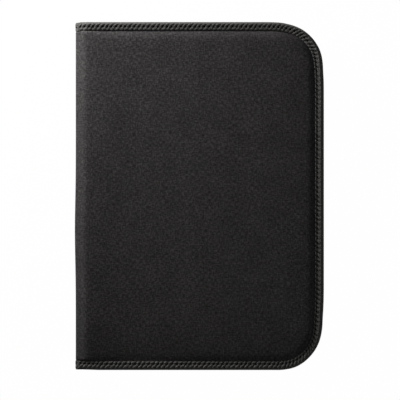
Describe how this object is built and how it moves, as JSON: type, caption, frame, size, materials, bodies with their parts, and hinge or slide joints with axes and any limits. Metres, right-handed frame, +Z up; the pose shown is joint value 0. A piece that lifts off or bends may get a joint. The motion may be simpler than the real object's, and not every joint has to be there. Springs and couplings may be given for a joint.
{
  "type": "zippered padfolio",
  "caption": "Padded fabric case with a rounded open edge that zips shut round a writing pad, pockets and a pen loop, and folds flat at its spine.",
  "frame": {"origin": "middle of the closed case's footprint, on the surface that its back cover lies on", "axes": "+X from the spine to the open edge, +Y from foot to head, +Z up out of the front cover"},
  "size_m": [0.25, 0.35, 0.024],
  "materials": {
    "outer_fabric": "black woven polyester with a fine grainy weave, soft sheen",
    "binding": "black folded binding tape, puckered along one row of stitches",
    "lining": "black plain-woven lining, satin",
    "foam": "grey open foam, hidden between fabric and board",
    "board": "grey-brown board, hidden inside the covers and the spine",
    "zip_tape": "black ribbed zip tape",
    "zip_teeth": "black moulded teeth, semi-matt",
    "zip_metal": "satin gunmetal",
    "backing_card": "grey-brown backing card",
    "paper": "white writing paper with fine ruled lines",
    "head_tape": "dark paper tape over the glued head",
    "pocket_fabric": "black pocket cloth with a bound mouth",
    "elastic": "black ribbed elastic webbing"
  },
  "bodies": {
    "back_cover": {"back_outer_fabric": "outer_fabric", "back_foam_pad": "foam", "back_stiffener_board": "board", "back_lining": "lining", "back_edge_binding": "binding", "back_zip_tape": "zip_tape", "back_zip_teeth": "zip_teeth", "back_zip_stops": "zip_metal", "back_fold_fabric": "outer_fabric", "back_fold_lining": "lining", "back_fold_binding": "binding", "pad_backing_card": "backing_card", "pad_paper_block": "paper", "pad_head_tape": "head_tape", "pad_sleeve": "pocket_fabric", "pen_loop": "elastic"},
    "spine": {"spine_fabric": "outer_fabric", "spine_stiffener": "board", "spine_lining": "lining", "spine_binding": "binding"},
    "front_cover": {"front_outer_fabric": "outer_fabric", "front_foam_pad": "foam", "front_stiffener_board": "board", "front_lining": "lining", "front_edge_binding": "binding", "front_zip_tape": "zip_tape", "front_zip_teeth": "zip_teeth", "front_zip_stops": "zip_metal", "front_fold_fabric": "outer_fabric", "front_fold_lining": "lining", "front_fold_binding": "binding", "document_pocket": "pocket_fabric", "upper_card_pocket": "pocket_fabric", "lower_card_pocket": "pocket_fabric"},
    "zip_slider": {"zip_slider_body": "zip_metal", "zip_slider_bridge": "zip_metal"},
    "zip_pull": {"zip_pull_tab": "zip_metal"}
  },
  "joints": [
    {"name": "spine_fold", "type": "hinge", "parent": "back_cover", "child": "spine", "pos_m": [-0.12328, 0, 0.00172], "axis": [0, -1, 0], "range_deg": [0, 90], "deforming": ["back_fold_fabric", "back_fold_lining", "back_fold_binding"]},
    {"name": "front_cover_fold", "type": "hinge", "parent": "spine", "child": "front_cover", "pos_m": [-0.12328, 0, 0.02228], "axis": [0, -1, 0], "range_deg": [0, 90], "deforming": ["front_fold_fabric", "front_fold_lining", "front_fold_binding"]},
    {"name": "zip_slide", "type": "slide", "parent": "back_cover", "child": "zip_slider", "axis": [1, 0, 0], "range_m": [0, 0.175], "deforming": ["back_zip_teeth", "front_zip_teeth"]},
    {"name": "pull_swing", "type": "hinge", "parent": "zip_slider", "child": "zip_pull", "pos_m": [-0.10365, -0.1703, 0.012], "axis": [0, 0, -1], "range_deg": [0, 150]}
  ]
}
